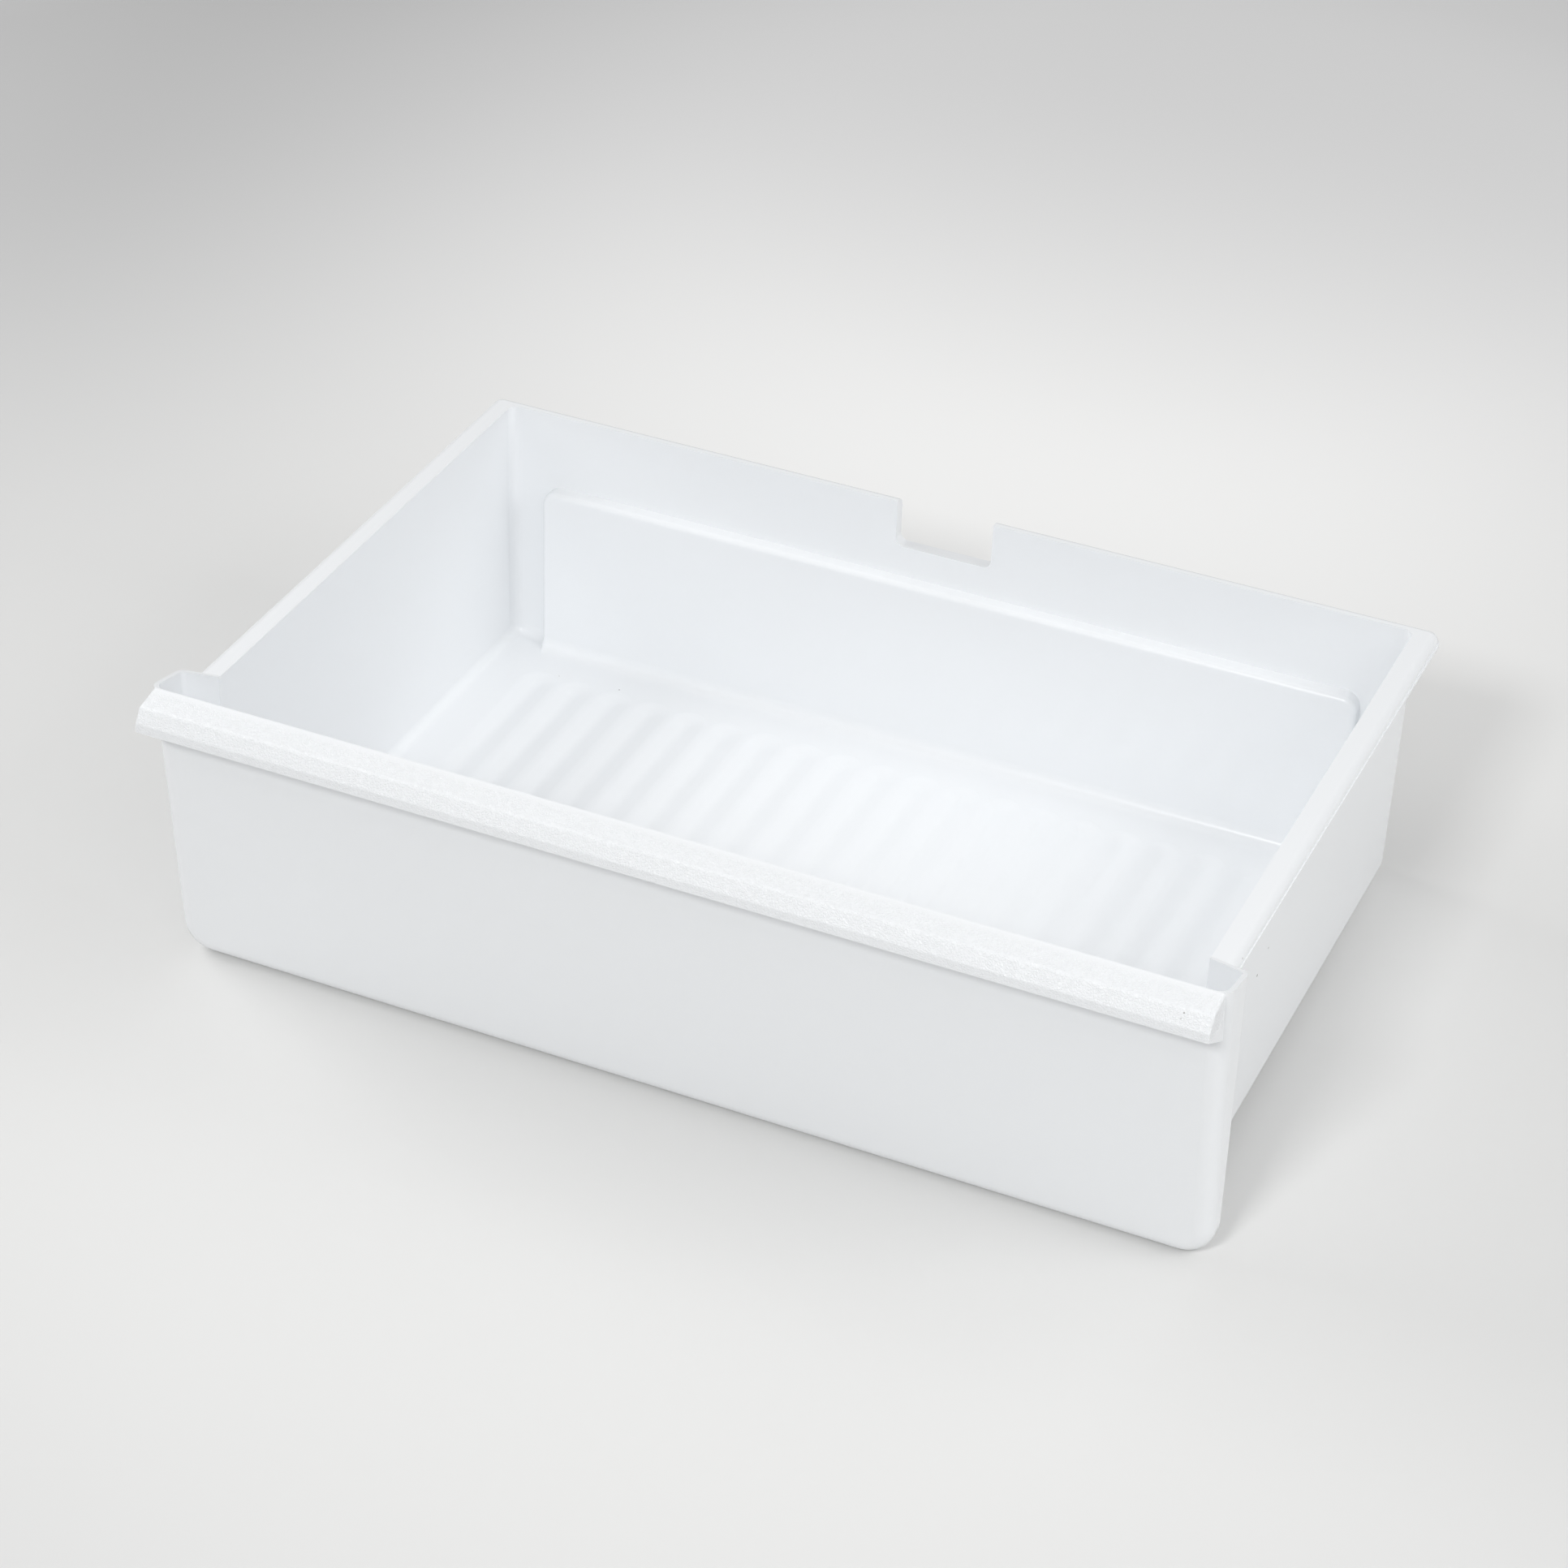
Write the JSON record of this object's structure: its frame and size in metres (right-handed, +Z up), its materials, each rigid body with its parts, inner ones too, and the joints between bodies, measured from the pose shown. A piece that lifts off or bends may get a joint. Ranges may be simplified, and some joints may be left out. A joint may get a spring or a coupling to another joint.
{
  "type": "fridge crisper drawer",
  "caption": "White moulded plastic fridge crisper drawer with a hooded front handle, turned-down rim flange, channelled floor, ledged back wall and a notch in the back rim.",
  "frame": {"origin": "under the middle of the drawer's outline, level with the foot of its front", "axes": "+Z up, -Y towards the front with the handle, X across the width"},
  "size_m": [0.61, 0.403, 0.182],
  "materials": {
    "white_plastic": "moulded, smooth satin gloss with a leather-grained handle"
  },
  "bodies": {
    "root": {"crisper_drawer": "white_plastic"}
  },
  "joints": []
}
